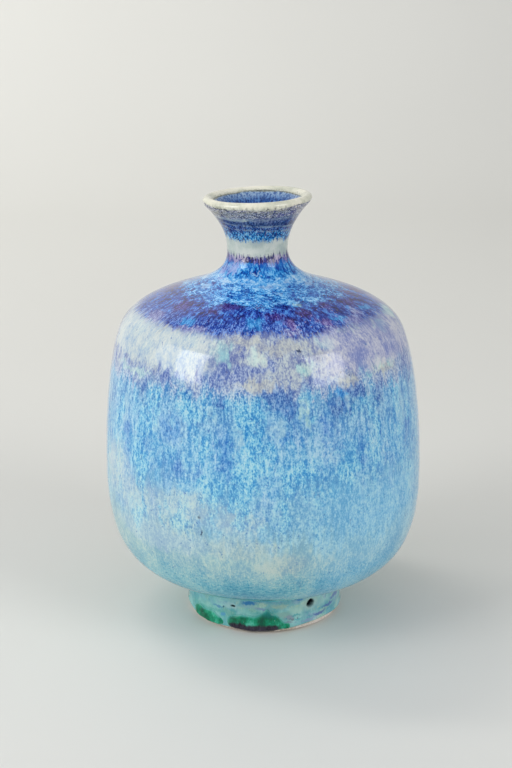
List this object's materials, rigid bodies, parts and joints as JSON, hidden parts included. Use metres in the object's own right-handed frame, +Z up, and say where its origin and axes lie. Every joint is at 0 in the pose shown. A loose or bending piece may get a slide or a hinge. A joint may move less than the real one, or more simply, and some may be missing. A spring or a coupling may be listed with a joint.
{
  "type": "stoneware bottle vase",
  "caption": "Wheel-thrown stoneware bottle vase with a tall rounded body, narrow neck and flared lip, glazed in runny blue over cream, standing on a turned foot ring.",
  "frame": {"origin": "centre of the foot ring's resting plane, on the axis of revolution", "axes": "+Z up along the axis of revolution; -Y faces the side with the two green glaze pools at the foot"},
  "size_m": [0.1, 0.1, 0.1348],
  "materials": {
    "stoneware": "matte",
    "blue_glaze": "gloss",
    "lip_glaze": "gloss",
    "lining_glaze": "gloss",
    "green_glaze": "gloss"
  },
  "bodies": {
    "root": {"stoneware_body": "stoneware", "outer_glaze": "blue_glaze", "lip_glaze": "lip_glaze", "lining_glaze": "lining_glaze", "foot_glaze_pools": "green_glaze"}
  },
  "joints": []
}
